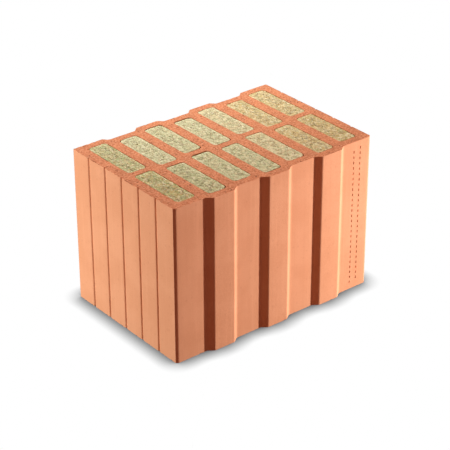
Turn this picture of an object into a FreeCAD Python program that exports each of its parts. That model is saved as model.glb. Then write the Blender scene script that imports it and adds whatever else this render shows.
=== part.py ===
import FreeCAD, Part
import math
import os

# Insulated hollow clay block, in millimetres.
# X runs along the wall's thickness, between the two plaster faces.
# Y runs along the wall's length: tongues on the front (-Y), grooves in the back (+Y).
# Z is up. The origin is at the centre of the block's box, on the bed it stands on.

# Clay body
LENGTH = 365.0
BODY_WIDTH = 241.0
HEIGHT = 249.0
FRONT_CORNER_CHAMFER = 3.0
BACK_CORNER_CHAMFER = 1.0

# Chambers: columns along X, and a row each side of a middle web, from the front to the back
COLUMNS = 7
ROWS = ("front", "back")
END_WALL = 16.5
CROSS_WEB = 18.0
SHELL = 13.0
MIDDLE_WEB = 11.0
CHAMBER_CORNER_RADIUS = 6.0

# Tongues on the front face, one at every second column
TONGUE_HEIGHT = 7.0
TONGUE_TIP_WIDTH = 36.0
TONGUE_FLANK_RUN = 9.5
TONGUE_EDGE_RADIUS = 2.0

# Grooves in the back face, sized to take a neighbour's tongues
GROOVE_TIP_CLEARANCE = 0.5
GROOVE_FLOOR_CLEARANCE = 5.0
GROOVE_MOUTH_CLEARANCE = 3.5
GROOVE_EDGE_RADIUS = 2.0

# Fine vertical grooves that key the plaster, in both end faces
PLASTER_GROOVE_COUNT = 5
PLASTER_MARGIN_FRONT = 42.5
PLASTER_MARGIN_BACK = 38.5
PLASTER_GROOVE_WIDTH = 3.4
PLASTER_GROOVE_DEPTH = 2.4
PLASTER_SHOULDER_RADIUS = 2.0
PLASTER_ROOT_RADIUS = 0.5

# Mineral wool inserts
INSERT_CLEARANCE = 0.3
INSERT_RECESS = 0.5

# The largest share of an edge that the rounding of one of its corners takes up
ROUNDING_SHARE = 0.45

# Planes and pitches that follow from the driving sizes
END_PLANE = LENGTH / 2
BOX_WIDTH = BODY_WIDTH + TONGUE_HEIGHT
TIP_PLANE = -BOX_WIDTH / 2
FRONT_PLANE = TIP_PLANE + TONGUE_HEIGHT
BACK_PLANE = FRONT_PLANE + BODY_WIDTH
GROOVE_PLANE = BACK_PLANE - TONGUE_HEIGHT - GROOVE_TIP_CLEARANCE
CHAMBER_WIDTH = (LENGTH - 2 * END_WALL - (COLUMNS - 1) * CROSS_WEB) / COLUMNS
CHAMBER_LENGTH = (BODY_WIDTH - 2 * SHELL - (len(ROWS) - 1) * MIDDLE_WEB) / len(ROWS)
ROW_PITCH = CHAMBER_LENGTH + MIDDLE_WEB
COLUMN_PITCH = CHAMBER_WIDTH + CROSS_WEB


def column_x(column):
    """Centre of a column of chambers, counted from 0 at the -X end."""
    return -END_PLANE + END_WALL + CHAMBER_WIDTH / 2 + column * COLUMN_PITCH


def has_tongue(column):
    """Every second column stands between a tongue and a groove."""
    return column % 2 == 1


def corner_arc(last, corner, following, radius):
    """Start, middle and end of the arc that rounds a corner, with its radius limited by the edges."""
    to_last = last - corner
    to_following = following - corner
    half_angle = to_last.getAngle(to_following) / 2
    longest_reach = ROUNDING_SHARE * min(to_last.Length, to_following.Length)
    reach = min(radius / math.tan(half_angle), longest_reach)
    to_last.normalize()
    to_following.normalize()
    bisector = (to_last + to_following).normalize()
    middle_distance = reach / math.cos(half_angle) - reach * math.tan(half_angle)
    return corner + to_last * reach, corner + bisector * middle_distance, corner + to_following * reach


def rounded_wire(corners, z):
    """Closed wire at height z through corners (x, y, radius), where a radius of 0 is a sharp corner."""
    points = [FreeCAD.Vector(x, y, z) for x, y, radius in corners]
    radii = [radius for x, y, radius in corners]
    arcs = []
    for index, radius in enumerate(radii):
        following = points[(index + 1) % len(points)]
        arcs.append(corner_arc(points[index - 1], points[index], following, radius))
    edges = []
    for index, (start, middle, end) in enumerate(arcs):
        last_end = arcs[index - 1][2]
        edges.append(Part.LineSegment(last_end, start).toShape())
        if radii[index] > 0:
            edges.append(Part.Arc(start, middle, end).toShape())
    return Part.Wire(edges)


def prism(corners, bottom, top):
    """Upright solid with a rounded outline."""
    face = Part.Face(rounded_wire(corners, bottom))
    return face.extrude(FreeCAD.Vector(0, 0, top - bottom))


def front_face_corners():
    """Front outline from -X to +X, with a tongue at every second column."""
    tip = TONGUE_TIP_WIDTH / 2
    root = tip + TONGUE_FLANK_RUN
    corners = []
    for column in range(COLUMNS):
        if has_tongue(column):
            x = column_x(column)
            corners.append((x - root, FRONT_PLANE, TONGUE_EDGE_RADIUS))
            corners.append((x - tip, TIP_PLANE, TONGUE_EDGE_RADIUS))
            corners.append((x + tip, TIP_PLANE, TONGUE_EDGE_RADIUS))
            corners.append((x + root, FRONT_PLANE, TONGUE_EDGE_RADIUS))
    return corners


def back_face_corners():
    """Back outline from +X to -X, with a groove opposite each tongue."""
    tip = TONGUE_TIP_WIDTH / 2
    floor = tip + GROOVE_FLOOR_CLEARANCE
    mouth = tip + TONGUE_FLANK_RUN + GROOVE_MOUTH_CLEARANCE
    corners = []
    for column in reversed(range(COLUMNS)):
        if has_tongue(column):
            x = column_x(column)
            corners.append((x + mouth, BACK_PLANE, GROOVE_EDGE_RADIUS))
            corners.append((x + floor, GROOVE_PLANE, GROOVE_EDGE_RADIUS))
            corners.append((x - floor, GROOVE_PLANE, GROOVE_EDGE_RADIUS))
            corners.append((x - mouth, BACK_PLANE, GROOVE_EDGE_RADIUS))
    return corners


def plaster_face_corners(side):
    """Outline of an end face, going up Y on the +X side and down Y on the -X side."""
    span = BODY_WIDTH - PLASTER_MARGIN_FRONT - PLASTER_MARGIN_BACK
    pitch = span / (PLASTER_GROOVE_COUNT - 1)
    half_width = side * PLASTER_GROOVE_WIDTH / 2
    face = side * END_PLANE
    root = side * (END_PLANE - PLASTER_GROOVE_DEPTH)
    numbers = range(PLASTER_GROOVE_COUNT)
    if side < 0:
        numbers = reversed(numbers)
    corners = []
    for number in numbers:
        y = FRONT_PLANE + PLASTER_MARGIN_FRONT + number * pitch
        corners.append((face, y - half_width, PLASTER_SHOULDER_RADIUS))
        corners.append((root, y, PLASTER_ROOT_RADIUS))
        corners.append((face, y + half_width, PLASTER_SHOULDER_RADIUS))
    return corners


def block_outline():
    """Whole section of the clay body, counter-clockwise from the front -X corner."""
    end = END_PLANE
    front_cut = FRONT_CORNER_CHAMFER
    back_cut = BACK_CORNER_CHAMFER
    corners = [(-end, FRONT_PLANE + front_cut, 0), (-end + front_cut, FRONT_PLANE, 0)]
    corners += front_face_corners()
    corners += [(end - front_cut, FRONT_PLANE, 0), (end, FRONT_PLANE + front_cut, 0)]
    corners += plaster_face_corners(1)
    corners += [(end, BACK_PLANE - back_cut, 0), (end - back_cut, BACK_PLANE, 0)]
    corners += back_face_corners()
    corners += [(-end + back_cut, BACK_PLANE, 0), (-end, BACK_PLANE - back_cut, 0)]
    corners += plaster_face_corners(-1)
    return corners


def chamber_outline(column, row, inset):
    """Outline of a chamber, moved in by an inset. A chamber behind a tongue is moved out into it."""
    shift = TONGUE_HEIGHT if has_tongue(column) else 0
    low_y = FRONT_PLANE + SHELL - shift + row * ROW_PITCH + inset
    high_y = low_y + CHAMBER_LENGTH - 2 * inset
    low_x = column_x(column) - CHAMBER_WIDTH / 2 + inset
    high_x = column_x(column) + CHAMBER_WIDTH / 2 - inset
    radius = max(CHAMBER_CORNER_RADIUS - inset, 0)
    return [(low_x, low_y, radius), (high_x, low_y, radius), (high_x, high_y, radius), (low_x, high_y, radius)]


def clay_block():
    """Extruded body with its chambers cut right through."""
    body = prism(block_outline(), 0, HEIGHT)
    chambers = []
    for column in range(COLUMNS):
        for row in range(len(ROWS)):
            chambers.append(prism(chamber_outline(column, row, 0), 0, HEIGHT))
    return body.cut(chambers)


def wool_insert(column, row):
    """Insert that fills a chamber, a little short of both bed faces."""
    outline = chamber_outline(column, row, INSERT_CLEARANCE)
    return prism(outline, INSERT_RECESS, HEIGHT - INSERT_RECESS)


def main():
    os.makedirs("parts", exist_ok=True)
    clay_block().exportStep("parts/clay_block.step")
    for row, row_name in enumerate(ROWS):
        for column in range(COLUMNS):
            name = "wool_insert_{}_{}".format(row_name, column + 1)
            wool_insert(column, row).exportStep("parts/" + name + ".step")


main()
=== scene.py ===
import math
import random

import bmesh
import bpy
import numpy as np
from mathutils import Matrix, Vector, kdtree, noise


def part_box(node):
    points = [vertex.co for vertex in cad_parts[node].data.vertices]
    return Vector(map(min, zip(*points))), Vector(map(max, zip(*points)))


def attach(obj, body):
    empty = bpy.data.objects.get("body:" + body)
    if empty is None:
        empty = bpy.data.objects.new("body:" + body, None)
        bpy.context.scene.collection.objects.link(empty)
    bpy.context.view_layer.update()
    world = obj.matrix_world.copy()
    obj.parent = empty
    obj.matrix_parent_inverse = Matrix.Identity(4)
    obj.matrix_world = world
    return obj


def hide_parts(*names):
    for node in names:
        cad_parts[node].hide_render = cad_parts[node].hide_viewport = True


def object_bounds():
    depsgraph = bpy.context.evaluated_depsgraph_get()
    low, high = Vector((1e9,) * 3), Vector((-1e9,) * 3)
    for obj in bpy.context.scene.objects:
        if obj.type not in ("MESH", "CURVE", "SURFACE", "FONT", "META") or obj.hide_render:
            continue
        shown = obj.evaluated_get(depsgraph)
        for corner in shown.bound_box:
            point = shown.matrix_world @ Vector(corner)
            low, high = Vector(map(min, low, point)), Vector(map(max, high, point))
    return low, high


bl_info = {
    "name": "Insulated clay block",
    "version": (1, 0, 0),
    "blender": (4, 5, 0),
    "location": "3D View > Sidebar > Clay block",
    "description": "Dresses a packed clay block: fired clay body, mineral wool inserts and a studio stage",
    "category": "Object",
}

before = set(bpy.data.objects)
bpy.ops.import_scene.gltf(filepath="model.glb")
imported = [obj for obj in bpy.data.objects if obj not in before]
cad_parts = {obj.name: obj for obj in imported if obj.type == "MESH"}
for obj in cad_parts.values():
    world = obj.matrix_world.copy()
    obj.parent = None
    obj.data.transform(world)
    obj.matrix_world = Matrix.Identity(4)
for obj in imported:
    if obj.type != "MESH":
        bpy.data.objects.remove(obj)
CAD_LOW, CAD_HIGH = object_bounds()

ROOT_BODY = "root"
CLAY_NODE = "clay_block"
WOOL_NODES = sorted(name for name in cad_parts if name.startswith("wool_insert_"))

# Metres in a millimetre, and the distance within which two places are the same
MM = 0.001
TOUCH = 0.001 * MM

# Depths of the rows of cells below each bed face, before the walls' own cells begin
OUTER_ROWS = [0.6 * MM, 1.3 * MM, 2.2 * MM, 3.6 * MM, 6.0 * MM, 10.0 * MM]
CHAMBER_ROWS = [0.8 * MM, 1.8 * MM, 3.6 * MM]
INSERT_ROWS = [1.0 * MM, 3.0 * MM]
INSERT_WALL_CELL = 40.0 * MM

# Rounding of the section: samples that a level is averaged from, the plaster grooves' share of the
# softness, because they are finer than the tongues, and the steps of a groove's rounded shoulder
LEVEL_SAMPLES = 5
GROOVE_SOFTNESS_SHARE = 0.25
SHOULDER_STEPS = 3
SHARP_ANGLE = math.radians(38)

# Wear of the clay: sizes of its blobs, noise values at which chips and pits start, shares of the small
# ones, and depths besides those that the settings hold
CHIP_SIZE = 9.0 * MM
CHIP_START = 0.28
SMALL_CHIP_SIZE = 4.5 * MM
SMALL_CHIP_START = 0.25
SMALL_CHIP_SHARE = 0.7
RAGGED_SIZE = 2.6 * MM
RAGGED_DEPTH = 0.25 * MM
RAGGED_LEAST = 0.12
RAGGED_CHANGE = 0.5
PIT_SIZE = 4.2 * MM
PIT_START = 0.42
SMALL_PIT_SIZE = 2.1 * MM
SMALL_PIT_START = 0.45
SMALL_PIT_SHARE = 0.5
GRIT_SIZE = 1.9 * MM
GRIT_DEPTH = 0.08 * MM
WAVE_SIZE = 70.0 * MM
WAVE_DEPTH = 0.08 * MM
STREAK_SIZE = 7.0 * MM
STREAK_DEPTH = 0.03 * MM
STREAK_SQUEEZE = 0.04

# Chips are larger towards the -X end, which has been knocked about more
CHIPPED_MIDDLE = 0.65
CHIPPED_CHANGE = 0.45

# Stamped dashes: columns, cuts of a cell, width of a dash's sloping rim, room behind the land's plane for
# its unevenness, and the share of a wall cell that a cell away from the bed faces is taller than
STAMP_COLUMNS = 2
STAMP_CUTS = 3
STAMP_RIM = 0.3 * MM
STAMP_SPARE = 1.0 * MM
TALL_SHARE = 0.8

# Unevenness of the wool: sizes of its blobs, and how far its rim, dips and gaps reach inwards
LUMP_SIZE = 8.0 * MM
TUFT_SIZE = 2.2 * MM
SHRINK_SIZE = 11.0 * MM
RIM_SINK = 0.12 * MM
RIM_REACH = 1.4 * MM
DIP_REACH = 5.0 * MM
GAP_REACH = 6.0 * MM
BED_MARGIN = 0.05 * MM

# Loose strands: mean heading and its spread, shares of the longest length, of a length that it bends and
# of the radius, clear rim, lowest and highest rise, share of an arch that is sunk, blobs of paleness
STRAND_HEADING = math.radians(90)
STRAND_SPREAD = math.radians(32)
STRAND_LENGTHS = (0.35, 1.0)
STRAND_BENDS = (-0.14, 0.14)
STRAND_WIDTHS = (0.55, 1.25)
STRAND_MARGIN = 1.2 * MM
STRAND_RISE = (0.16 * MM, 1.2 * MM)
STRAND_SUNK = 0.55
STRAND_BLOB = 4.0 * MM
WOOL_SEED = 7

# Stage: half the floor's width and the end of sight in metres, the sensor's width in millimetres,
# and samples of the contact shadow
FLOOR_HALF_WIDTH = 20.0
SIGHT_END = 100.0
SENSOR_WIDTH = 36.0
SHADOW_SAMPLES = 24
WHITE = (1.0, 1.0, 1.0)


def display_color(red, green, blue):
    """Linear colour from the 0 to 255 values that a screen shows."""
    shares = [value / 255 for value in (red, green, blue)]
    return [share / 12.92 if share <= 0.04045 else ((share + 0.055) / 1.055) ** 2.4 for share in shares]


def length_property(name, description, millimetres):
    return bpy.props.FloatProperty(
        name=name, description=description, default=millimetres * MM, min=0.0, precision=5, unit="LENGTH"
    )


def color_property(name, description, red, green, blue):
    return bpy.props.FloatVectorProperty(
        name=name, description=description, default=display_color(red, green, blue), min=0.0, max=1.0,
        size=3, subtype="COLOR",
    )


def place_property(name, description, place):
    return bpy.props.FloatVectorProperty(
        name=name, description=description, default=place, size=3, subtype="TRANSLATION"
    )


def angle_property(name, description, degrees):
    return bpy.props.FloatProperty(
        name=name, description=description, default=math.radians(degrees), subtype="ANGLE"
    )


def power_property(name, description, watts):
    return bpy.props.FloatProperty(name=name, description=description, default=watts, min=0.0, unit="POWER")


def factor_property(name, description, factor):
    return bpy.props.FloatProperty(name=name, description=description, default=factor, min=0.0)


def count_property(name, description, count, least):
    return bpy.props.IntProperty(name=name, description=description, default=count, min=least)


class ClayBodySettings(bpy.types.PropertyGroup):
    """Sizes and colours of the fired clay body."""

    tongue_height: length_property("Tongue height", "How far a tongue stands out of the front face", 7.0)
    tongue_tip_width: length_property("Tongue tip width", "Width of a tongue at its outer face", 36.0)
    tongue_flank_run: length_property("Tongue flank run", "Width of a tongue's sloping flank", 9.5)
    groove_tip_clearance: length_property("Groove depth clearance", "Room beyond a tongue's tip", 0.5)
    groove_floor_clearance: length_property("Groove floor clearance", "Room beside a tongue's tip", 5.0)
    groove_mouth_clearance: length_property("Groove mouth clearance", "Room beside a tongue's root", 3.5)
    front_corner_chamfer: length_property("Front corner chamfer", "Flat on the front upright corners", 3.0)
    back_corner_chamfer: length_property("Back corner chamfer", "Flat on the back upright corners", 1.0)
    edge_softness: length_property("Edge softness", "Half the width of a section corner's rounding", 0.8)
    chamber_corner_radius: length_property("Chamber corner radius", "Rounding of the chambers' corners", 6.0)
    insert_clearance: length_property("Insert clearance", "Gap between a wool insert and its chamber", 0.3)
    plaster_margin_front: length_property("Front plaster margin", "Front land to first plaster groove", 42.5)
    plaster_margin_back: length_property("Back plaster margin", "Last plaster groove to back land", 38.5)
    plaster_groove_width: length_property("Plaster groove width", "Width of a groove at its mouth", 3.4)
    plaster_groove_depth: length_property("Plaster groove depth", "Depth of a groove at its root", 2.4)
    plaster_shoulder_radius: length_property("Plaster shoulder", "Rounding of a plaster groove's mouth", 2.0)
    plaster_groove_count: count_property("Plaster grooves", "Plaster grooves in each end face", 5, 2)
    cell: length_property("Cell size", "Largest cell of the bed faces' mesh", 1.8)
    wall_cell: length_property("Wall cell size", "Height of side faces' cells away from the bed faces", 9.0)
    chip_depth: length_property("Chip depth", "Deepest chip out of an arris", 1.1)
    chip_reach: length_property("Chip reach", "How far from an arris its chips reach", 2.6)
    pit_depth: length_property("Pit depth", "Deepest pit in a ground bed face", 0.6)
    stamp_place: length_property("Stamp place", "Middle of the block to the first column of dashes", 149.0)
    stamp_width: length_property("Stamp width", "First to second column of stamped dashes", 12.5)
    stamp_depth: length_property("Stamp depth", "Depth of a stamped dash", 0.9)
    skin_pale_color: color_property("Pale skin", "Pale streaks and clouds on extruded clay", 221, 156, 117)
    skin_dark_color: color_property("Dark skin", "Darker clouds on extruded clay", 207, 140, 100)
    ground_color: color_property("Ground clay", "Clay laid open by grinding", 220, 140, 98)
    ground_pale_color: color_property("Pale grains", "Pale grains in the ground clay", 238, 172, 132)
    ground_dark_color: color_property("Dark grains", "Dark grains in the ground clay", 164, 88, 56)
    pit_color: color_property("Pits", "Dirt and shade in the pits of the ground clay", 118, 70, 46)


class WoolSettings(bpy.types.PropertyGroup):
    """Sizes and colours of the mineral wool inserts."""

    cell: length_property("Cell size", "Largest cell of an insert's cut ends", 0.95)
    corner_radius: length_property("Corner radius", "Rounding of an insert's corners", 5.7)
    torn_corner: length_property("Torn corner", "Rounding of the most worn corners", 9.0)
    lump_height: length_property("Lump height", "Unevenness of the cut ends", 0.5)
    tuft_height: length_property("Tuft height", "Fine tufts on the cut ends", 0.35)
    side_gap: length_property("Side gap", "How far an insert shrinks from its chamber in places", 0.5)
    end_gap: length_property("End gap", "Most that an insert's front end stops short of its chamber", 1.6)
    end_dip: length_property("End dip", "Most that an insert's back end dips", 1.1)
    fibres: count_property("Fibres", "Loose fibres on each cut end of an insert", 360, 0)
    fibre_length: length_property("Fibre length", "Longest loose fibre", 11.0)
    fibre_radius: length_property("Fibre radius", "Radius of a strand of fibres", 0.19)
    green_color: color_property("Green wool", "Wool of the greener inserts", 158, 172, 108)
    tan_color: color_property("Tan wool", "Wool of the browner inserts", 207, 177, 115)
    pale_color: color_property("Pale fibres", "Bright strands and tufts", 247, 239, 206)
    dark_color: color_property("Dark hollows", "Shade between the strands", 90, 92, 40)


class StageSettings(bpy.types.PropertyGroup):
    """Camera, lamps and floor."""

    azimuth: angle_property("Azimuth", "Camera's turn round the block", -38.743)
    elevation: angle_property("Elevation", "Camera's angle above the floor", 28.654)
    roll: angle_property("Roll", "Camera's tilt about its own line of sight", -0.19)
    distance: length_property("Distance", "Camera to the point it looks at", 2539.0)
    aim: place_property("Aim", "Point that the camera looks at", (-0.0030, -0.0039, 0.1156))
    lens: bpy.props.FloatProperty(
        name="Lens", description="Focal length on a 36 mm sensor", default=135.93, unit="CAMERA"
    )
    front_lamp: place_property("Front lamp", "Lamp that grazes the tongue face", (0.79, -0.545, 0.13))
    front_lamp_aim: place_property("Front lamp aim", "Point that the front lamp faces", (-0.16, -0.73, 0.13))
    front_lamp_power: power_property("Front lamp power", "Power of the front lamp", 19.7)
    end_lamp: place_property("End lamp", "Lamp that lights the -X plaster face", (-1.05, 0.63, 0.13))
    end_lamp_power: power_property("End lamp power", "Power of the end lamp", 14.7)
    top_lamp: place_property("Top lamp", "Lamp above and behind the block", (0.22, 0.75, 0.9))
    top_lamp_power: power_property("Top lamp power", "Power of the top lamp", 13.8)
    back_lamp_color: color_property("Back lamp colour", "Light of the end and top lamps", 243, 255, 255)
    lamp_size: length_property("Lamp size", "Width of each lamp", 60.0)
    sky_color: color_property("Sky", "Even warm light from all round", 255, 175, 151)
    sky_strength: factor_property("Sky strength", "Strength of the even light from all round", 0.33)
    shadow_reach: length_property("Shadow reach", "How far the contact shadow spreads", 28.0)
    shadow_depth: factor_property("Shadow depth", "Power that deepens the contact shadow", 2.0)
    floor_bounce: color_property("Floor bounce", "Colour that the floor throws on the block", 124, 90, 80)


def store(tree, socket, value):
    """Links a value that is a socket to an input, and stores any other."""
    if isinstance(value, bpy.types.NodeSocket):
        tree.links.new(value, socket)
    else:
        socket.default_value = value


def add_node(tree, kind, inputs=None, **settings):
    """Adds a node with its settings, and links or stores its inputs."""
    node = tree.nodes.new(kind)
    for name, value in settings.items():
        setattr(node, name, value)
    for name, value in (inputs or {}).items():
        store(tree, node.inputs[name], value)
    return node


def with_alpha(color):
    return (color[0], color[1], color[2], 1.0)


def mix_colors(tree, factor, first, second):
    """Colour socket of a mix from first, at factor 0, to second, at factor 1."""
    node = add_node(tree, "ShaderNodeMix", data_type="RGBA", clamp_factor=True)
    factor_socket, first_socket, second_socket = (node.inputs[index] for index in (0, 6, 7))
    store(tree, factor_socket, factor)
    store(tree, first_socket, first)
    store(tree, second_socket, second)
    return node.outputs[2]


def remap(tree, value, low, high, new_low=0.0, new_high=1.0):
    """Value socket, clamped from low and high to new_low and new_high on a smooth step."""
    inputs = {"Value": value, "From Min": low, "From Max": high, "To Min": new_low, "To Max": new_high}
    return add_node(tree, "ShaderNodeMapRange", inputs, interpolation_type="SMOOTHSTEP").outputs["Result"]


def combine(tree, operation, first, second):
    return add_node(tree, "ShaderNodeMath", {0: first, 1: second}, operation=operation).outputs[0]


def object_coordinates(tree, stretch=(1.0, 1.0, 1.0), turn=0.0):
    """Object coordinates, turned about Z. A stretch above 1 draws a pattern out along its axis."""
    place = add_node(tree, "ShaderNodeTexCoord").outputs["Object"]
    inputs = {"Vector": place, "Scale": stretch, "Rotation": (0.0, 0.0, turn)}
    return add_node(tree, "ShaderNodeMapping", inputs, vector_type="TEXTURE").outputs["Vector"]


def attribute(tree, name):
    return add_node(tree, "ShaderNodeAttribute", attribute_name=name).outputs["Fac"]


def noise_value(tree, place, scale, detail, roughness, distortion=0.0):
    """Noise with about scale blobs to the metre."""
    inputs = {"Vector": place, "Scale": scale, "Detail": detail, "Roughness": roughness}
    inputs["Distortion"] = distortion
    return add_node(tree, "ShaderNodeTexNoise", inputs).outputs[0]


def bump(tree, height, distance, strength, under=None):
    """Normal socket of a relief, on top of the one under it if there is one."""
    inputs = {"Height": height, "Distance": distance, "Strength": strength}
    if under:
        inputs["Normal"] = under
    return add_node(tree, "ShaderNodeBump", inputs).outputs["Normal"]


def fired_clay_group():
    """Node group of the clouds, grains and specks that all fired clay shows, each at its own size."""
    group = bpy.data.node_groups.new("fired clay", "ShaderNodeTree")
    for name, size in (("Cloud Size", 80 * MM), ("Grain Size", 2 * MM), ("Speck Size", 4 * MM)):
        socket = group.interface.new_socket(name, in_out="INPUT", socket_type="NodeSocketFloat")
        socket.default_value = size
    for name in ("Clouds", "Grains", "Specks"):
        group.interface.new_socket(name, in_out="OUTPUT", socket_type="NodeSocketFloat")
    sizes = group.nodes.new("NodeGroupInput").outputs
    place = object_coordinates(group)
    clouds = noise_value(group, place, combine(group, "DIVIDE", 1.0, sizes["Cloud Size"]), 4.0, 0.55)
    grains = noise_value(group, place, combine(group, "DIVIDE", 1.0, sizes["Grain Size"]), 3.0, 0.6)
    speck_scale = combine(group, "DIVIDE", 1.0, sizes["Speck Size"])
    specks = add_node(group, "ShaderNodeTexVoronoi", {"Vector": place, "Scale": speck_scale})
    spots = remap(group, specks.outputs["Distance"], 0.12, 0.28, 1.0, 0.0)
    chances = add_node(group, "ShaderNodeSeparateColor", {"Color": specks.outputs["Color"]})
    rare = remap(group, chances.outputs["Red"], 0.62, 0.78)
    values = {
        "Clouds": remap(group, clouds, 0.32, 0.68),
        "Grains": remap(group, grains, 0.28, 0.72),
        "Specks": combine(group, "MULTIPLY", spots, rare),
    }
    add_node(group, "NodeGroupOutput", values)
    return group


def clay_values(tree, group, cloud_size, grain_size, speck_size):
    """The fired clay group's outputs at this material's own sizes."""
    inputs = {"Cloud Size": cloud_size, "Grain Size": grain_size, "Speck Size": speck_size}
    return add_node(tree, "ShaderNodeGroup", inputs, node_tree=group).outputs


def empty_tree(owner):
    """Node tree of a material or a world, with nothing in it."""
    owner.use_nodes = True
    owner.node_tree.nodes.clear()
    return owner.node_tree


def new_material(name):
    """Material with only a Principled BSDF and its output, and that shader."""
    material = bpy.data.materials.new(name)
    tree = empty_tree(material)
    shader = tree.nodes.new("ShaderNodeBsdfPrincipled")
    add_node(tree, "ShaderNodeOutputMaterial", {"Surface": shader.outputs["BSDF"]})
    return material, tree, shader


def clay_skin_material(settings, group):
    """Smooth skin that the die leaves: cloudy, faintly streaked upwards, redder where an arris has broken."""
    material, tree, shader = new_material("clay_skin")
    clay = clay_values(tree, group, cloud_size=50 * MM, grain_size=1.6 * MM, speck_size=9 * MM)
    streaks = noise_value(tree, object_coordinates(tree, stretch=(1.0, 1.0, 40.0)), 1 / (5 * MM), 3.0, 0.6)
    pale = with_alpha(settings.skin_pale_color)
    dark = with_alpha(settings.skin_dark_color)
    color = mix_colors(tree, remap(tree, clay["Clouds"], 0.0, 1.0, 0.3, 0.7), dark, pale)
    color = mix_colors(tree, remap(tree, streaks, 0.3, 0.5, 0.25, 0.0), color, dark)
    color = mix_colors(tree, remap(tree, streaks, 0.54, 0.72, 0.0, 0.55), color, pale)
    color = mix_colors(tree, remap(tree, clay["Grains"], 0.55, 1.0, 0.0, 0.4), color, pale)
    color = mix_colors(tree, remap(tree, clay["Grains"], 0.0, 0.3, 0.5, 0.0), color, dark)
    specks = combine(tree, "MULTIPLY", clay["Specks"], 0.12)
    color = mix_colors(tree, specks, color, with_alpha(settings.ground_dark_color))
    broken = remap(tree, attribute(tree, "broken"), 0.05, 0.45)
    color = mix_colors(tree, broken, color, with_alpha(settings.ground_color))
    roughness = remap(tree, clay["Grains"], 0.0, 1.0, 0.94, 0.8)
    relief = bump(tree, streaks, 0.2 * MM, 0.6)
    relief = bump(tree, clay["Grains"], 0.12 * MM, 0.8, relief)
    store(tree, shader.inputs["Base Color"], color)
    store(tree, shader.inputs["Roughness"], roughness)
    store(tree, shader.inputs["Specular IOR Level"], 0.22)
    store(tree, shader.inputs["Normal"], relief)
    return material


def clay_ground_material(settings, group):
    """Open, granular clay of the ground bed faces, with pale and dark grains, and its pits, hollow specks and
    chipped rims darkened with dirt and painted shade.
    """
    material, tree, shader = new_material("clay_ground")
    clay = clay_values(tree, group, cloud_size=14 * MM, grain_size=2.8 * MM, speck_size=5.2 * MM)
    ground = with_alpha(settings.ground_color)
    shaded = with_alpha([0.82 * value for value in settings.ground_color])
    pale = with_alpha(settings.ground_pale_color)
    dark = with_alpha(settings.ground_dark_color)
    dirt_and_shade = with_alpha(settings.pit_color)
    color = mix_colors(tree, clay["Clouds"], ground, shaded)
    color = mix_colors(tree, remap(tree, clay["Grains"], 0.54, 0.95, 0.0, 0.6), color, pale)
    color = mix_colors(tree, remap(tree, clay["Grains"], 0.05, 0.46, 0.5, 0.0), color, dark)
    # Specks, pits and chipped rims take the pit colour: dirt there, and painted shade in these hollows
    color = mix_colors(tree, combine(tree, "MULTIPLY", clay["Specks"], 0.6), color, dirt_and_shade)
    color = mix_colors(tree, remap(tree, attribute(tree, "pit"), 0.1, 0.8, 0.0, 0.8), color, dirt_and_shade)
    color = mix_colors(tree, remap(tree, attribute(tree, "broken"), 0.25, 0.8, 0.0, 0.6), color, dirt_and_shade)
    roughness = remap(tree, clay["Grains"], 0.0, 1.0, 0.98, 0.86)
    hollow = combine(tree, "SUBTRACT", 1.0, clay["Specks"])
    relief = bump(tree, clay["Grains"], 0.3 * MM, 0.8)
    relief = bump(tree, hollow, 0.6 * MM, 0.8, relief)
    store(tree, shader.inputs["Base Color"], color)
    store(tree, shader.inputs["Roughness"], roughness)
    store(tree, shader.inputs["Specular IOR Level"], 0.15)
    store(tree, shader.inputs["Normal"], relief)
    return material


def wool_material(settings):
    """Mineral wool: strands from dark to pale, over patches about each insert's own tint and paleness."""
    material, tree, shader = new_material("mineral_wool")
    pale = with_alpha(settings.pale_color)
    layers = []
    for turn in (0.6, -0.5):
        place = object_coordinates(tree, stretch=(1.0, 3.2, 1.0), turn=turn)
        layers.append(noise_value(tree, place, 1 / (2.2 * MM), 3.0, 0.62, 0.6))
    lit = combine(tree, "MAXIMUM", layers[0], layers[1])
    sunk = combine(tree, "MINIMUM", layers[0], layers[1])
    drawn_out = object_coordinates(tree, stretch=(1.0, 4.0, 1.0), turn=0.2)
    tufts = noise_value(tree, drawn_out, 1 / (3.5 * MM), 2.0, 0.6, 1.0)
    patches = noise_value(tree, object_coordinates(tree), 1 / (5 * MM), 3.0, 0.65, 0.4)
    tint = combine(tree, "ADD", attribute(tree, "tint"), remap(tree, patches, 0.32, 0.68, -0.5, 0.5))
    color = mix_colors(tree, tint, with_alpha(settings.green_color), with_alpha(settings.tan_color))
    color = mix_colors(tree, combine(tree, "MULTIPLY", attribute(tree, "paleness"), 0.62), color, pale)
    color = mix_colors(tree, remap(tree, tufts, 0.5, 0.68, 0.0, 0.4), color, pale)
    color = mix_colors(tree, remap(tree, sunk, 0.3, 0.46, 0.6, 0.0), color, with_alpha(settings.dark_color))
    color = mix_colors(tree, remap(tree, lit, 0.55, 0.72, 0.0, 0.95), color, pale)
    color = mix_colors(tree, combine(tree, "MULTIPLY", attribute(tree, "strand"), 0.8), color, pale)
    relief = bump(tree, tufts, 1.2 * MM, 0.7)
    relief = bump(tree, lit, 0.8 * MM, 0.9, relief)
    store(tree, shader.inputs["Base Color"], color)
    store(tree, shader.inputs["Roughness"], 0.95)
    store(tree, shader.inputs["Specular IOR Level"], 0.1)
    store(tree, shader.inputs["Normal"], relief)
    return material


def stations(breaks, step):
    """Places from the first break to the last, at every break and no further apart than step."""
    ordered = sorted(breaks)
    places = [ordered[0]]
    for low, high in zip(ordered, ordered[1:]):
        count = max(1, math.ceil((high - low) / step - 0.01))
        places += [low + (high - low) * number / count for number in range(1, count + 1)]
    return places


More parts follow.
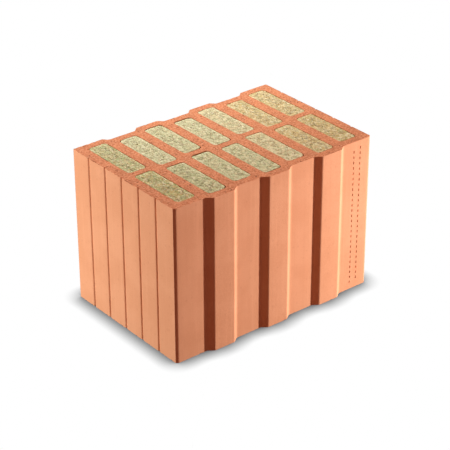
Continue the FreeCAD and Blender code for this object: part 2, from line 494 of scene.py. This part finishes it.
def mapped_grid(bm, across, along, z):
    """Flat grid at height z with a line at each place across X and along Y."""
    bmesh.ops.create_grid(bm, x_segments=len(across) - 1, y_segments=len(along) - 1, size=0.5)
    for vert in bm.verts:
        column = round((vert.co.x + 0.5) * (len(across) - 1))
        row = round((vert.co.y + 0.5) * (len(along) - 1))
        vert.co = (across[column], along[row], z)


def round_corner(vert, low, high, radius):
    """Moves a vertex in a rectangle's corner from its square round the corner's centre on to an arc."""
    centre = Vector((
        min(max(vert.co.x, low.x + radius), high.x - radius),
        min(max(vert.co.y, low.y + radius), high.y - radius),
        vert.co.z,
    ))
    offset = vert.co - centre
    if abs(offset.x) > TOUCH and abs(offset.y) > TOUCH:
        vert.co = centre + offset.normalized() * max(abs(offset.x), abs(offset.y))


def extrude_walls(bm, edges, depths):
    """Draws the edges of the top cap down through each depth below it."""
    last_depth = 0.0
    for depth in depths:
        made = bmesh.ops.extrude_edge_only(bm, edges=edges)["geom"]
        verts = [item for item in made if isinstance(item, bmesh.types.BMVert)]
        edges = [item for item in made if isinstance(item, bmesh.types.BMEdge)]
        bmesh.ops.translate(bm, verts=verts, vec=(0.0, 0.0, last_depth - depth))
        lowest = min(vert.co.z for vert in verts)
        edges = [edge for edge in edges if all(vert.co.z < lowest + TOUCH for vert in edge.verts)]
        last_depth = depth


def close_slab(bm, height, walls):
    """Copies the top cap down, joins the caps by walls of (edges, depths) and returns both caps' faces."""
    cap = list(bm.faces)
    copied = bmesh.ops.duplicate(bm, geom=bm.verts[:] + bm.edges[:] + bm.faces[:])["geom"]
    low_verts = [item for item in copied if isinstance(item, bmesh.types.BMVert)]
    low_cap = [item for item in copied if isinstance(item, bmesh.types.BMFace)]
    bmesh.ops.translate(bm, verts=low_verts, vec=(0.0, 0.0, -height))
    for edges, depths in walls:
        extrude_walls(bm, edges, depths)
    lowest = min(vert.co.z for vert in bm.verts)
    bmesh.ops.remove_doubles(bm, verts=[vert for vert in bm.verts if vert.co.z < lowest + TOUCH], dist=TOUCH)
    bmesh.ops.recalc_face_normals(bm, faces=bm.faces)
    bm.normal_update()
    return cap + [face for face in low_cap if face.is_valid]


def wall_depths(height, rows, cell):
    """Depths of a wall's rows: close together near both ends, and a cell apart between."""
    near = rows[:-1]
    middle = stations([rows[-1], height - rows[-1]], cell)
    return near + middle + [height - depth for depth in reversed(near)] + [height]


def stretched(value, start, end, new_end):
    """Value between start and end after end has been moved to new_end."""
    return start + (new_end - start) * (value - start) / (end - start)


def noise_at(place, size):
    """Smooth noise from -1 to 1 whose blobs are about size metres across."""
    return noise.noise(place / size)


def above(value, threshold):
    """How far a noise value is above a threshold, as a share of the way to 1."""
    return max(0.0, value - threshold) / (1.0 - threshold)


class BlockSection:
    """The block's section as lines X to Y along the long faces and Y to X along the end faces."""

    def __init__(self, settings):
        self.settings = settings
        self.half_length = CAD_HIGH.x
        self.front = CAD_LOW.y + settings.tongue_height
        self.back = CAD_HIGH.y
        self.chambers = self.find_chambers()
        self.tongues = self.find_tongues()
        self.plaster_grooves = self.find_plaster_grooves()
        self.groove_profile = self.find_groove_profile()
        self.front_line = self.find_front_line()
        self.back_line = self.find_back_line()
        self.end_line = self.find_end_line()

    def find_chambers(self):
        """(low corner, high corner) of each chamber, round its insert."""
        grow = Vector((self.settings.insert_clearance, self.settings.insert_clearance, 0.0))
        boxes = [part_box(name) for name in WOOL_NODES]
        return [(low - grow, high + grow) for low, high in boxes]

    def find_tongues(self):
        """Middle of each tongue: the columns whose chambers reach nearest to the front."""
        nearest = min(low.y for low, high in self.chambers)
        return sorted((low.x + high.x) / 2 for low, high in self.chambers if low.y < nearest + MM)

    def find_plaster_grooves(self):
        """Middle of each plaster groove along Y."""
        first = self.front + self.settings.plaster_margin_front
        last = self.back - self.settings.plaster_margin_back
        gaps = self.settings.plaster_groove_count - 1
        return [first + (last - first) * number / gaps for number in range(gaps + 1)]

    def find_groove_profile(self):
        """(offset, depth) across a plaster groove: rounded shoulders and straight flanks down to its root."""
        half_width = self.settings.plaster_groove_width / 2
        depth = self.settings.plaster_groove_depth
        radius = self.settings.plaster_shoulder_radius
        slope = math.atan2(depth, half_width)
        start = half_width + radius * math.tan(slope / 2)
        turns = [slope * step / SHOULDER_STEPS for step in range(SHOULDER_STEPS + 1)]
        right = [(start - radius * math.sin(turn), radius * (1.0 - math.cos(turn))) for turn in turns]
        left = [(-offset, fall) for offset, fall in right]
        return left + [(0.0, depth)] + right[::-1]

    def with_corners(self, line, plane, cut, inward):
        """A long face's line with the chamfers at both of its ends."""
        end = self.half_length
        start = [(-end, plane + inward * cut), (-end + cut, plane)]
        return start + line + [(end - cut, plane), (end, plane + inward * cut)]

    def find_front_line(self):
        tip = self.settings.tongue_tip_width / 2
        root = tip + self.settings.tongue_flank_run
        out = self.front - self.settings.tongue_height
        line = []
        for x in self.tongues:
            line += [(x - root, self.front), (x - tip, out), (x + tip, out), (x + root, self.front)]
        return self.with_corners(line, self.front, self.settings.front_corner_chamfer, 1.0)

    def find_back_line(self):
        settings = self.settings
        tip = settings.tongue_tip_width / 2
        floor = tip + settings.groove_floor_clearance
        mouth = tip + settings.tongue_flank_run + settings.groove_mouth_clearance
        bottom = self.back - settings.tongue_height - settings.groove_tip_clearance
        line = []
        for x in self.tongues:
            line += [(x - mouth, self.back), (x - floor, bottom), (x + floor, bottom), (x + mouth, self.back)]
        return self.with_corners(line, self.back, settings.back_corner_chamfer, -1.0)

    def find_end_line(self):
        line = [(self.front, self.half_length)]
        for y in self.plaster_grooves:
            line += [(y + offset, self.half_length - depth) for offset, depth in self.groove_profile]
        return line + [(self.back, self.half_length)]

    def level(self, line, place, softness):
        """Level of a line at a place, with its corners rounded off."""
        offsets = np.linspace(-softness, softness, LEVEL_SAMPLES)
        firsts, seconds = zip(*line)
        return float(np.interp(place + offsets, firsts, seconds).mean())

    def across(self):
        """Breaks along X: chamber edges and all corners of the long faces."""
        places = {self.half_length, -self.half_length}
        for low, high in self.chambers:
            places |= {round(low.x, 6), round(high.x, 6)}
        for line in (self.front_line, self.back_line):
            places |= {round(x, 6) for x, y in line}
        return places

    def along(self):
        """Breaks along Y: chamber edges, chamfers and the plaster grooves' profiles."""
        settings = self.settings
        places = {self.front, self.front + settings.front_corner_chamfer}
        places |= {self.back - settings.back_corner_chamfer, self.back}
        for low, high in self.chambers:
            places |= {round(low.y, 6), round(high.y, 6)}
        for y in self.plaster_grooves:
            places |= {y + offset for offset, depth in self.groove_profile}
        return places

    def shape(self, bm):
        """Moves the outer strips of a rectangular grid on to the section's lines."""
        softness = self.settings.edge_softness
        groove_softness = GROOVE_SOFTNESS_SHARE * softness
        front_start = min(low.y for low, high in self.chambers)
        back_start = max(high.y for low, high in self.chambers)
        end_start = max(high.x for low, high in self.chambers)
        for vert in bm.verts:
            x, y, z = vert.co
            if y < front_start:
                y = stretched(y, front_start, self.front, self.level(self.front_line, x, softness))
            elif y > back_start:
                y = stretched(y, back_start, self.back, self.level(self.back_line, x, softness))
            if abs(x) > end_start:
                new_end = self.level(self.end_line, y, groove_softness)
                x = math.copysign(stretched(abs(x), end_start, self.half_length, new_end), x)
            vert.co = (x, y, z)

    def chamber_at(self, place):
        """The chamber that holds a place, or None."""
        for low, high in self.chambers:
            within_x = low.x - TOUCH < place.x < high.x + TOUCH
            within_y = low.y - TOUCH < place.y < high.y + TOUCH
            if within_x and within_y:
                return low, high
        return None


def chipping(place):
    """How far an arris is chipped at a place, and how ragged it is besides."""
    chipped = CHIPPED_MIDDLE - CHIPPED_CHANGE * place.x / CAD_HIGH.x
    large = above(noise_at(place, CHIP_SIZE), CHIP_START)
    small = SMALL_CHIP_SHARE * above(noise_at(place, SMALL_CHIP_SIZE), SMALL_CHIP_START)
    ragged = RAGGED_LEAST + RAGGED_CHANGE * above(noise_at(place, RAGGED_SIZE), 0.0)
    return chipped * (large + small), ragged


def pitting(place):
    """How deep the pits of a ground bed face are at a place."""
    large = above(noise_at(place, PIT_SIZE), PIT_START)
    return large + SMALL_PIT_SHARE * above(noise_at(place, SMALL_PIT_SIZE), SMALL_PIT_START)


def unevenness(place):
    """How far a drawn wall waves and is streaked inwards at a place."""
    drawn = Vector((place.x, place.y, STREAK_SQUEEZE * place.z))
    wave = WAVE_DEPTH * (1.0 + noise_at(place, WAVE_SIZE))
    return wave + STREAK_DEPTH * (1.0 + noise_at(drawn, STREAK_SIZE))


def wear_clay(bm, caps, settings):
    """Chips the arrises, pits the ground caps and waves the walls, always inwards, and notes where."""
    broken_layer = bm.verts.layers.float.new("broken")
    pit_layer = bm.verts.layers.float.new("pit")
    cap_verts = {vert for face in caps for vert in face.verts}
    rim = [vert for vert in cap_verts if any(face not in caps for face in vert.link_faces)]
    arrises = kdtree.KDTree(len(rim))
    for number, vert in enumerate(rim):
        arrises.insert(vert.co, number)
    arrises.balance()
    moves = []
    for vert in bm.verts:
        place = vert.co
        from_arris = arrises.find(place)[2]
        near = max(0.0, 1.0 - from_arris / settings.chip_reach) ** 2
        chip, ragged = chipping(place)
        depth = near * (settings.chip_depth * chip + RAGGED_DEPTH * ragged)
        vert[broken_layer] = min(1.0, near * (1.8 * chip + 0.3 * ragged))
        if vert in cap_verts:
            pit = pitting(place)
            vert[pit_layer] = min(1.0, 1.6 * pit)
            depth += settings.pit_depth * pit + GRIT_DEPTH * (1.0 + noise_at(place, GRIT_SIZE))
        else:
            depth += unevenness(place)
        moves.append((vert, vert.normal * depth))
    for vert, move in moves:
        vert.co -= move


def is_stamp_cell(face, x, front, tall):
    """Whether a face in front of the plane y = front is a tall cell of the column of cells at x."""
    xs, ys, zs = zip(*(vert.co for vert in face.verts))
    return face.normal.y < -0.9 and max(ys) < front and min(xs) <= x < max(xs) and max(zs) - min(zs) > tall


def stamp_dashes(bm, settings):
    """Presses columns of upright dashes, half a pitch apart, into the last land of the front face."""
    tall = TALL_SHARE * settings.wall_cell
    front = CAD_LOW.y + settings.tongue_height + STAMP_SPARE
    for number in range(STAMP_COLUMNS):
        x = settings.stamp_place + number * settings.stamp_width
        cells = [face for face in bm.faces if is_stamp_cell(face, x, front, tall)]
        upright = dict.fromkeys(edge for face in cells for edge in face.edges if edge.calc_length() > tall)
        made = bmesh.ops.subdivide_edges(bm, edges=list(upright), cuts=STAMP_CUTS, use_grid_fill=True)
        cuts = [item for item in made["geom_inner"] if isinstance(item, bmesh.types.BMEdge)]
        rows = dict.fromkeys(face for edge in cuts for face in edge.link_faces if len(face.verts) == 4)
        upwards = sorted(rows, key=lambda face: face.calc_center_median().z)
        dashes = [face for index, face in enumerate(upwards) if (index // 2 + number) % 2 == 0]
        depth = -settings.stamp_depth
        bmesh.ops.inset_region(bm, faces=dashes, thickness=STAMP_RIM, depth=depth, use_boundary=True)
        bm.normal_update()


def finish_piece(bm, name, materials, node):
    """Makes the smooth-shaded object of a piece that stands for a CAD node."""
    for face in bm.faces:
        face.smooth = True
    mesh = bpy.data.meshes.new(name)
    bm.to_mesh(mesh)
    bm.free()
    for material in materials:
        mesh.materials.append(material)
    piece = bpy.data.objects.new(name, mesh)
    bpy.context.scene.collection.objects.link(piece)
    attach(piece, ROOT_BODY)
    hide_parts(node)
    return piece


class CLAYBLOCK_OT_clay_body(bpy.types.Operator):
    """Models the fired clay body: section, chambers, worn arrises and ground bed faces"""

    bl_idname = "clay_block.clay_body"
    bl_label = "Fired clay body"

    def execute(self, context):
        settings = context.scene.clay_body
        section = BlockSection(settings)
        bm = bmesh.new()
        chamber_edges, outer_edges = self.build_cap(bm, section, settings)
        height = CAD_HIGH.z - CAD_LOW.z
        outer_depths = wall_depths(height, OUTER_ROWS, settings.wall_cell)
        chamber_depths = wall_depths(height, CHAMBER_ROWS, height)
        caps = set(close_slab(bm, height, [(outer_edges, outer_depths), (chamber_edges, chamber_depths)]))
        wear_clay(bm, caps, settings)
        bm.normal_update()
        stamp_dashes(bm, settings)
        for face in bm.faces:
            face.material_index = 1 if face in caps else 0
        group = fired_clay_group()
        materials = [clay_skin_material(settings, group), clay_ground_material(settings, group)]
        piece = finish_piece(bm, "clay_body", materials, CLAY_NODE)
        piece.data.set_sharp_from_angle(angle=SHARP_ANGLE)
        return {"FINISHED"}

    def build_cap(self, bm, section, settings):
        """Makes the top bed face, open at its chambers, and returns its chamber edges and outer edges."""
        across = stations(section.across(), settings.cell)
        along = stations(section.along(), settings.cell)
        mapped_grid(bm, across, along, CAD_HIGH.z)
        section.shape(bm)
        inside = [face for face in bm.faces if section.chamber_at(face.calc_center_median())]
        bmesh.ops.delete(bm, geom=inside, context="FACES")
        outer_edges = []
        chamber_edges = []
        for edge in bm.edges:
            if edge.is_boundary:
                middle = (edge.verts[0].co + edge.verts[1].co) / 2
                (chamber_edges if section.chamber_at(middle) else outer_edges).append(edge)
        for vert in {vert for edge in chamber_edges for vert in edge.verts}:
            low, high = section.chamber_at(vert.co)
            round_corner(vert, low, high, settings.chamber_corner_radius)
        return chamber_edges, outer_edges


def strand_mesh():
    """Points and faces of one thin three-sided strand, one unit long along X and one unit in radius."""
    bm = bmesh.new()
    bmesh.ops.create_cone(bm, cap_ends=True, segments=3, radius1=1.0, radius2=1.0, depth=1.0)
    upright = [edge for edge in bm.edges if abs(edge.verts[0].co.z - edge.verts[1].co.z) > 0.5]
    bmesh.ops.subdivide_edges(bm, edges=upright, cuts=3)
    bmesh.ops.rotate(bm, verts=bm.verts, matrix=Matrix.Rotation(math.radians(90), 3, "Y"))
    bm.verts.index_update()
    points = np.array([vert.co for vert in bm.verts])
    faces = [[vert.index for vert in face.verts] for face in bm.faces]
    bm.free()
    return points, faces


def scatter_strands(low, high, surface, up, settings, draw):
    """Points and faces of the loose strands that arch out of a cut end, ends sunk in the wool."""
    points, faces = strand_mesh()
    along = points[:, 0]
    arch = 1.0 - 4.0 * along ** 2
    middle = (low + high) / 2
    room = (high - low) / 2
    all_points = []
    all_faces = []
    for number in range(settings.fibres):
        length = settings.fibre_length * draw.uniform(*STRAND_LENGTHS)
        angle = draw.gauss(STRAND_HEADING, STRAND_SPREAD)
        heading = Vector((math.cos(angle), math.sin(angle)))
        bend = length * draw.uniform(*STRAND_BENDS)
        thick = settings.fibre_radius * draw.uniform(*STRAND_WIDTHS)
        clear = STRAND_MARGIN + abs(bend)
        reach_x = max(0.0, room.x - clear - abs(heading.x) * length / 2)
        reach_y = max(0.0, room.y - clear - abs(heading.y) * length / 2)
        middle_x = middle.x + draw.uniform(-reach_x, reach_x)
        middle_y = middle.y + draw.uniform(-reach_y, reach_y)
        rise = draw.uniform(*STRAND_RISE)
        forward = along * length
        sideways = arch * bend + points[:, 1] * thick
        moved = np.empty_like(points)
        moved[:, 0] = middle_x + forward * heading.x - sideways * heading.y
        moved[:, 1] = middle_y + forward * heading.y + sideways * heading.x
        moved[:, 2] = surface + up * (arch - STRAND_SUNK) * rise + points[:, 2] * thick
        start = number * len(points)
        all_points.append(moved)
        all_faces += [[start + index for index in face] for face in faces]
    return np.concatenate(all_points), all_faces


def tease_wool(bm, caps, low, high, gap, dip, settings):
    """Lumps and tufts on the cut ends, a gap in front, a dip at the back, and sides that shrink in places."""
    cap_verts = {vert for face in caps for vert in face.verts}
    half_height = (low.z + high.z) / 2
    moves = []
    for vert in bm.verts:
        place = vert.co
        from_rim = min(place.x - low.x, high.x - place.x, place.y - low.y, high.y - place.y)
        move = Vector((0.0, gap * math.exp((low.y - place.y) / GAP_REACH), 0.0))
        if vert in cap_verts:
            drawn = Vector((place.x, place.y * 0.5, place.z))
            rise = settings.lump_height * noise_at(place, LUMP_SIZE)
            rise += settings.tuft_height * noise_at(drawn, TUFT_SIZE)
            rise -= RIM_SINK * math.exp(-from_rim / RIM_REACH)
            rise -= dip * math.exp((place.y - high.y) / DIP_REACH)
            move.z = rise if place.z > half_height else -rise
        if from_rim < 0.2 * settings.corner_radius:
            shrink = settings.side_gap * above(noise_at(place, SHRINK_SIZE), 0.0)
            move -= Vector((vert.normal.x, vert.normal.y, 0.0)) * shrink
        moves.append((vert, move))
    for vert, move in moves:
        vert.co += move


def rare_share(draw, lowest):
    """Random share up to 1, or 0 where the draw from the lowest value up is negative."""
    return max(0.0, draw.uniform(lowest, 1.0))


def wool_tint(share, draw):
    """Share of tan in an insert: greenest left of the middle, browner towards both ends."""
    towards_right = 0.3 + 1.25 * share
    towards_left = -0.37 - share
    return min(1.0, max(0.12, towards_right, towards_left) + draw.uniform(-0.08, 0.08))


def wool_paleness(share, y, draw):
    """How pale an insert is: palest left of the middle, duller towards both ends, and paler at the back."""
    towards_end = max(0.0, abs(share + 0.14) - 0.42)
    towards_back = (1.0 - 0.9 * share) * y
    return max(0.14, 0.6 - 1.6 * towards_end) + towards_back + draw.uniform(-0.06, 0.06)


class CLAYBLOCK_OT_wool_inserts(bpy.types.Operator):
    """Models a mineral wool insert in every chamber"""

    bl_idname = "clay_block.wool_inserts"
    bl_label = "Mineral wool inserts"

    def execute(self, context):
        settings = context.scene.wool_inserts
        material = wool_material(settings)
        draw = random.Random(WOOL_SEED)
        for node in WOOL_NODES:
            self.build_insert(node, settings, material, draw)
        return {"FINISHED"}

    def build_insert(self, node, settings, material, draw):
        low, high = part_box(node)
        middle = (low + high) / 2
        bm = bmesh.new()
        caps = self.build_slab(bm, low, high, settings, draw)
        gap = settings.end_gap * rare_share(draw, -1.0)
        dip = settings.end_dip * rare_share(draw, -2.0)
        tease_wool(bm, caps, low, high, gap, dip, settings)
        share = middle.x / CAD_HIGH.x
        values = {"tint": wool_tint(share, draw), "paleness": wool_paleness(share, middle.y, draw)}
        self.add_strands(bm, low, high, settings, draw)
        for vert in bm.verts:
            vert.co.z = min(max(vert.co.z, CAD_LOW.z + BED_MARGIN), CAD_HIGH.z - BED_MARGIN)
        for name, value in values.items():
            layer = bm.verts.layers.float.new(name)
            for vert in bm.verts:
                vert[layer] = value
        name = node.replace("wool_insert", "wool")
        piece = finish_piece(bm, name, [material], node)

    def build_slab(self, bm, low, high, settings, draw):
        """Makes a slab with rounded corners, some of them worn, and returns the faces of its cut ends."""
        across = stations([low.x, high.x], settings.cell)
        along = stations([low.y, high.y], settings.cell)
        mapped_grid(bm, across, along, high.z)
        rim = [edge for edge in bm.edges if edge.is_boundary]
        radii = {}
        for side in ((False, False), (False, True), (True, False), (True, True)):
            worn = rare_share(draw, -1.5) ** 2
            radii[side] = settings.corner_radius + worn * (settings.torn_corner - settings.corner_radius)
        middle = (low + high) / 2
        for vert in bm.verts:
            round_corner(vert, low, high, radii[vert.co.x > middle.x, vert.co.y > middle.y])
        height = high.z - low.z
        return close_slab(bm, height, [(rim, wall_depths(height, INSERT_ROWS, INSERT_WALL_CELL))])

    def add_strands(self, bm, low, high, settings, draw):
        """Adds the loose strands of both cut ends, and notes how pale they are."""
        strand_layer = bm.verts.layers.float.new("strand")
        for surface, up in ((high.z, 1.0), (low.z, -1.0)):
            points, faces = scatter_strands(low, high, surface, up, settings, draw)
            verts = [bm.verts.new(point) for point in points]
            for vert in verts:
                vert[strand_layer] = 0.5 + 0.5 * noise_at(vert.co, STRAND_BLOB)
            for face in faces:
                bm.faces.new([verts[index] for index in face])


def seen_directly(tree):
    """Socket that is 1 where the camera, a reflection or glass sees a surface, and 0 for other light."""
    rays = add_node(tree, "ShaderNodeLightPath").outputs
    seen = combine(tree, "MAXIMUM", rays["Is Camera Ray"], rays["Is Glossy Ray"])
    return combine(tree, "MAXIMUM", seen, rays["Is Transmission Ray"])


def floor_material(settings):
    """White with a contact shadow where it is seen, and a dull warm grey to the light that it throws back."""
    material = bpy.data.materials.new("studio_floor")
    tree = empty_tree(material)
    shade = add_node(
        tree, "ShaderNodeAmbientOcclusion", {"Distance": settings.shadow_reach}, samples=SHADOW_SAMPLES
    )
    level = combine(tree, "POWER", shade.outputs["AO"], settings.shadow_depth)
    white = add_node(tree, "ShaderNodeEmission", {"Color": level, "Strength": 1.0})
    dull = add_node(tree, "ShaderNodeBsdfDiffuse", {"Color": with_alpha(settings.floor_bounce)})
    inputs = {0: seen_directly(tree), 1: dull.outputs[0], 2: white.outputs[0]}
    mixed = add_node(tree, "ShaderNodeMixShader", inputs)
    add_node(tree, "ShaderNodeOutputMaterial", {"Surface": mixed.outputs[0]})
    return material


def studio_world(settings):
    """White where it is seen, and an even dim light elsewhere."""
    world = bpy.data.worlds.new("studio")
    tree = empty_tree(world)
    sky = {"Color": with_alpha(settings.sky_color), "Strength": settings.sky_strength}
    dim = add_node(tree, "ShaderNodeBackground", sky)
    white = add_node(tree, "ShaderNodeBackground", {"Color": with_alpha(WHITE), "Strength": 1.0})
    inputs = {0: seen_directly(tree), 1: dim.outputs[0], 2: white.outputs[0]}
    mixed = add_node(tree, "ShaderNodeMixShader", inputs)
    add_node(tree, "ShaderNodeOutputWorld", {"Surface": mixed.outputs[0]})
    return world


def area_lamp(name, place, aim, color, power, size):
    """Adds a square soft lamp at a place, turned to the aim."""
    light = bpy.data.lights.new(name, "AREA")
    light.color = color
    light.energy = power
    light.shape = "SQUARE"
    light.size = size
    lamp = bpy.data.objects.new(name, light)
    lamp.location = place
    lamp.rotation_euler = (Vector(aim) - Vector(place)).to_track_quat("-Z", "Y").to_euler()
    bpy.context.scene.collection.objects.link(lamp)


class CLAYBLOCK_OT_stage(bpy.types.Operator):
    """Sets up the floor, the lamps, the surroundings and the camera"""

    bl_idname = "clay_block.stage"
    bl_label = "Studio stage"

    def execute(self, context):
        scene = context.scene
        settings = scene.stage
        scene.view_settings.view_transform = "Standard"
        scene.world = studio_world(settings)
        self.add_floor(scene, settings)
        middle = (CAD_LOW + CAD_HIGH) / 2
        cool = settings.back_lamp_color
        for name, place, aim, color, power in (
            ("front_lamp", settings.front_lamp, settings.front_lamp_aim, WHITE, settings.front_lamp_power),
            ("end_lamp", settings.end_lamp, middle, cool, settings.end_lamp_power),
            ("top_lamp", settings.top_lamp, middle, cool, settings.top_lamp_power),
        ):
            area_lamp(name, place, aim, color, power, settings.lamp_size)
        self.add_camera(scene, settings)
        return {"FINISHED"}

    def add_floor(self, scene, settings):
        bm = bmesh.new()
        bmesh.ops.create_grid(bm, x_segments=1, y_segments=1, size=FLOOR_HALF_WIDTH)
        mesh = bpy.data.meshes.new("floor")
        bm.to_mesh(mesh)
        bm.free()
        mesh.materials.append(floor_material(settings))
        floor = bpy.data.objects.new("floor", mesh)
        floor.location.z = CAD_LOW.z
        scene.collection.objects.link(floor)

    def add_camera(self, scene, settings):
        turn = settings.azimuth
        tilt = settings.elevation
        back = Vector((math.sin(turn) * math.cos(tilt), -math.cos(turn) * math.cos(tilt), math.sin(tilt)))
        camera = bpy.data.objects.new("camera", bpy.data.cameras.new("camera"))
        camera.data.lens = settings.lens
        camera.data.sensor_width = SENSOR_WIDTH
        camera.data.clip_end = SIGHT_END
        place = Vector(settings.aim) + back * settings.distance
        turned = back.to_track_quat("Z", "Y").to_matrix() @ Matrix.Rotation(settings.roll, 3, "Z")
        camera.matrix_world = Matrix.Translation(place) @ turned.to_4x4()
        scene.collection.objects.link(camera)
        scene.camera = camera


class CLAYBLOCK_PT_build(bpy.types.Panel):
    """Lists the steps that build the block and the settings that they use"""

    bl_label = "Clay block"
    bl_idname = "CLAYBLOCK_PT_build"
    bl_space_type = "VIEW_3D"
    bl_region_type = "UI"
    bl_category = "Clay block"

    def draw(self, context):
        scene = context.scene
        for operator, settings in (
            (CLAYBLOCK_OT_clay_body, scene.clay_body),
            (CLAYBLOCK_OT_wool_inserts, scene.wool_inserts),
            (CLAYBLOCK_OT_stage, scene.stage),
        ):
            box = self.layout.box()
            box.operator(operator.bl_idname)
            for name in settings.__annotations__:
                box.prop(settings, name)


CLASSES = (
    ClayBodySettings,
    WoolSettings,
    StageSettings,
    CLAYBLOCK_OT_clay_body,
    CLAYBLOCK_OT_wool_inserts,
    CLAYBLOCK_OT_stage,
    CLAYBLOCK_PT_build,
)


def register():
    for item in CLASSES:
        bpy.utils.register_class(item)
    bpy.types.Scene.clay_body = bpy.props.PointerProperty(type=ClayBodySettings)
    bpy.types.Scene.wool_inserts = bpy.props.PointerProperty(type=WoolSettings)
    bpy.types.Scene.stage = bpy.props.PointerProperty(type=StageSettings)


def unregister():
    del bpy.types.Scene.stage
    del bpy.types.Scene.wool_inserts
    del bpy.types.Scene.clay_body
    for item in reversed(CLASSES):
        bpy.utils.unregister_class(item)


def main():
    register()
    bpy.ops.clay_block.stage()
    bpy.ops.clay_block.clay_body()
    bpy.ops.clay_block.wool_inserts()


if __name__ == "__main__":
    main()
